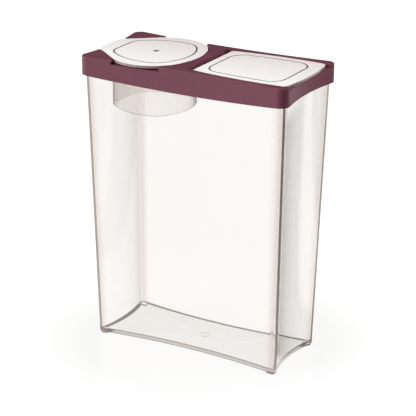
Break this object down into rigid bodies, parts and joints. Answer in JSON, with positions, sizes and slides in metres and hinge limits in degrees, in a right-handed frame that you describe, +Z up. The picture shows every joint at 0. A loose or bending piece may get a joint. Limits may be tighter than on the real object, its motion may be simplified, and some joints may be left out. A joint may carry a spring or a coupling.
{
  "type": "cereal container",
  "caption": "Tall clear food container with a push-on moulded cover, a hinged flip lid over its pouring mouth and a lift-out measuring cup.",
  "frame": {"origin": "on the table under the middle of the base", "axes": "+Z up, the longest way; +X along the container towards the pouring end; +Y across it, the shortest way"},
  "size_m": [0.2168, 0.106, 0.285],
  "materials": {
    "clear_shell": "clear injection-moulded plastic, polished",
    "cover_plastic": "dusky burgundy polypropylene, satin-moulded",
    "seal_rubber": "soft pale grey elastomer",
    "frosted_lid": "milky translucent polypropylene",
    "frosted_cup": "milky translucent polypropylene"
  },
  "bodies": {
    "container": {"container": "clear_shell"},
    "cover": {"cover": "cover_plastic", "cover_seal": "seal_rubber"},
    "flip_lid": {"flip_lid": "frosted_lid"},
    "measuring_cup": {"measuring_cup": "frosted_cup"}
  },
  "joints": [
    {"name": "cover_lift", "type": "slide", "parent": "container", "child": "cover", "axis": [0, 0, 1], "range_m": [0, 0.06]},
    {"name": "flip_lid_hinge", "type": "hinge", "parent": "cover", "child": "flip_lid", "pos_m": [0.003, 0, 0.28325], "axis": [0, -1, 0], "range_deg": [0, 95]},
    {"name": "measuring_cup_lift", "type": "slide", "parent": "cover", "child": "measuring_cup", "axis": [0, 0, 1], "range_m": [0, 0.055]}
  ]
}
